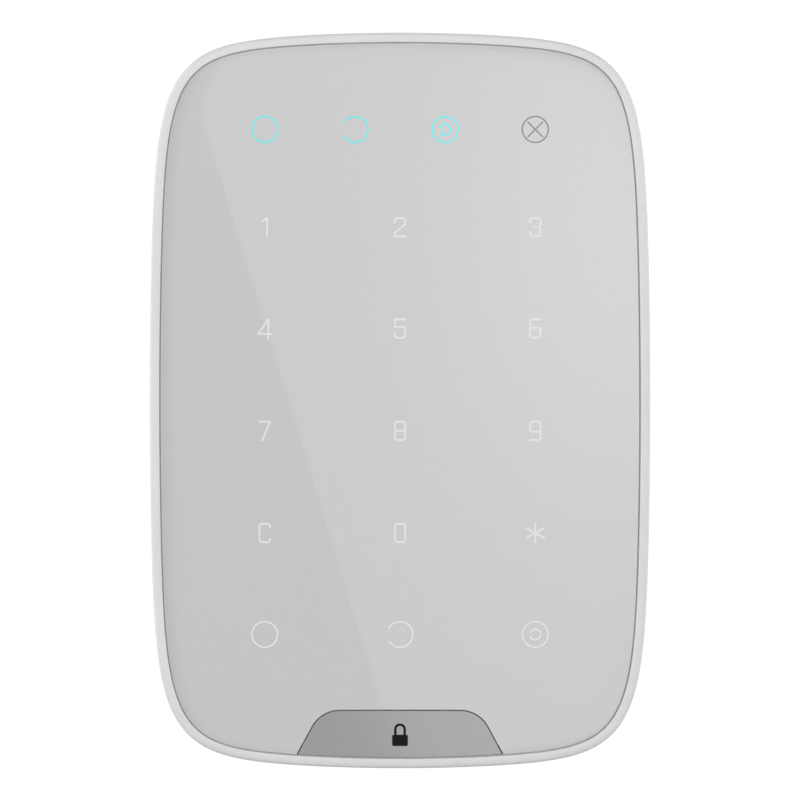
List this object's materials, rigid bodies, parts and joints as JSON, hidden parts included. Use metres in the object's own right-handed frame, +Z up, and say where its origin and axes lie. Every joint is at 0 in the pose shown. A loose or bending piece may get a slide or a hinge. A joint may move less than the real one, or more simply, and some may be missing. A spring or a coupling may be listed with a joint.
{
  "type": "alarm keypad panel",
  "caption": "Slim wall-mounted alarm keypad: a one-piece touch panel in a bow-sided plastic case that slides onto a screwed wall bracket and is locked from below.",
  "frame": {"origin": "centre of the wall bracket's back face, which lies flat on the wall", "axes": "+X to the right of a person facing the panel, +Y from the panel into the wall, +Z up along the panel's long side"},
  "size_m": [0.1022, 0.014, 0.15],
  "materials": {
    "case_plastic": "fine-textured white moulding",
    "panel_face": "smooth gloss, pale silver grey",
    "badge_face": "satin grey",
    "tape": "black foam tape",
    "printed_film": "printed film",
    "clear_acrylic": "clear moulding",
    "circuit_board": "green solder mask",
    "black_parts": "black moulding compound",
    "grey_moulding": "fine-textured light grey moulding",
    "lamp": "clear resin over phosphor",
    "tinned_metal": "dull tinned sheet",
    "screw_steel": "bright zinc",
    "spring_steel": "nickel plated",
    "brass_parts": "plain",
    "cell_jacket": "plain dark jacket",
    "label": "blank film label"
  },
  "bodies": {
    "bracket": {"wall_bracket": "grey_moulding"},
    "keypad_unit": {"front_bezel": "case_plastic", "rear_housing": "case_plastic", "touch_panel": "panel_face", "badge_plate": "badge_face", "panel_adhesive_frame": "tape", "legend_film": "printed_film", "light_guide": "clear_acrylic", "main_board": "circuit_board", "status_led_1": "lamp", "status_led_2": "lamp", "status_led_3": "lamp", "status_led_4": "lamp", "backlight_led_left": "lamp", "backlight_led_right": "lamp", "radio_shield": "tinned_metal", "microcontroller": "black_parts", "crystal": "tinned_metal", "test_connector": "black_parts", "capacitor": "tinned_metal", "buzzer_case": "black_parts", "buzzer_disc": "brass_parts", "antenna_left": "brass_parts", "antenna_right": "brass_parts", "power_switch": "black_parts", "tamper_switch": "black_parts", "battery_holder_left": "grey_moulding", "battery_holder_right": "grey_moulding", "battery_spring_left": "spring_steel", "battery_spring_right": "spring_steel", "battery_plate_left": "spring_steel", "battery_plate_right": "spring_steel", "cell_left_1": "cell_jacket", "cell_left_2": "cell_jacket", "cell_right_1": "cell_jacket", "cell_right_2": "cell_jacket", "board_screw_lower_left": "screw_steel", "board_screw_upper_left": "screw_steel", "board_screw_lower_right": "screw_steel", "board_screw_upper_right": "screw_steel", "case_screw_lower_left": "screw_steel", "case_screw_upper_left": "screw_steel", "case_screw_lower_right": "screw_steel", "case_screw_upper_right": "screw_steel", "rear_label": "label", "tamper_spring": "spring_steel"},
    "power_button": {"power_button": "grey_moulding", "power_switch_stem": "black_parts"},
    "tamper_plunger": {"tamper_plunger": "grey_moulding"},
    "tamper_stem": {"tamper_switch_stem": "black_parts"},
    "screw_retainer": {"screw_retainer": "black_parts"},
    "lock_screw": {"lock_screw": "screw_steel"}
  },
  "joints": [
    {"name": "keypad_lift", "type": "slide", "parent": "bracket", "child": "keypad_unit", "axis": [0, 0, 1], "range_m": [0, 0.0035]},
    {"name": "power_press", "type": "slide", "parent": "keypad_unit", "child": "power_button", "axis": [0, -1, 0], "range_m": [0, 0.0005], "stiffness_N_per_m": 600},
    {"name": "tamper_release", "type": "slide", "parent": "keypad_unit", "child": "tamper_plunger", "axis": [0, 1, 0], "range_m": [0, 0.0012], "stiffness_N_per_m": 400, "springref_m": 0.0012, "deforming": ["tamper_spring"]},
    {"name": "tamper_stem_follow", "type": "slide", "parent": "keypad_unit", "child": "tamper_stem", "axis": [0, 1, 0], "range_m": [0, 0.0003]},
    {"name": "lock_screw_travel", "type": "slide", "parent": "bracket", "child": "screw_retainer", "axis": [0, 0, -1], "range_m": [0, 0.003]},
    {"name": "lock_screw_turn", "type": "hinge", "parent": "screw_retainer", "child": "lock_screw", "pos_m": [0, -0.0044, -0.0669], "axis": [0, 0, -1], "range_deg": [0, 1080]}
  ],
  "couplings": [
    {"joint": "tamper_stem_follow", "follows": "tamper_release", "ratio": 0.25},
    {"joint": "lock_screw_turn", "follows": "lock_screw_travel", "rad_per_m": 6283.2}
  ]
}
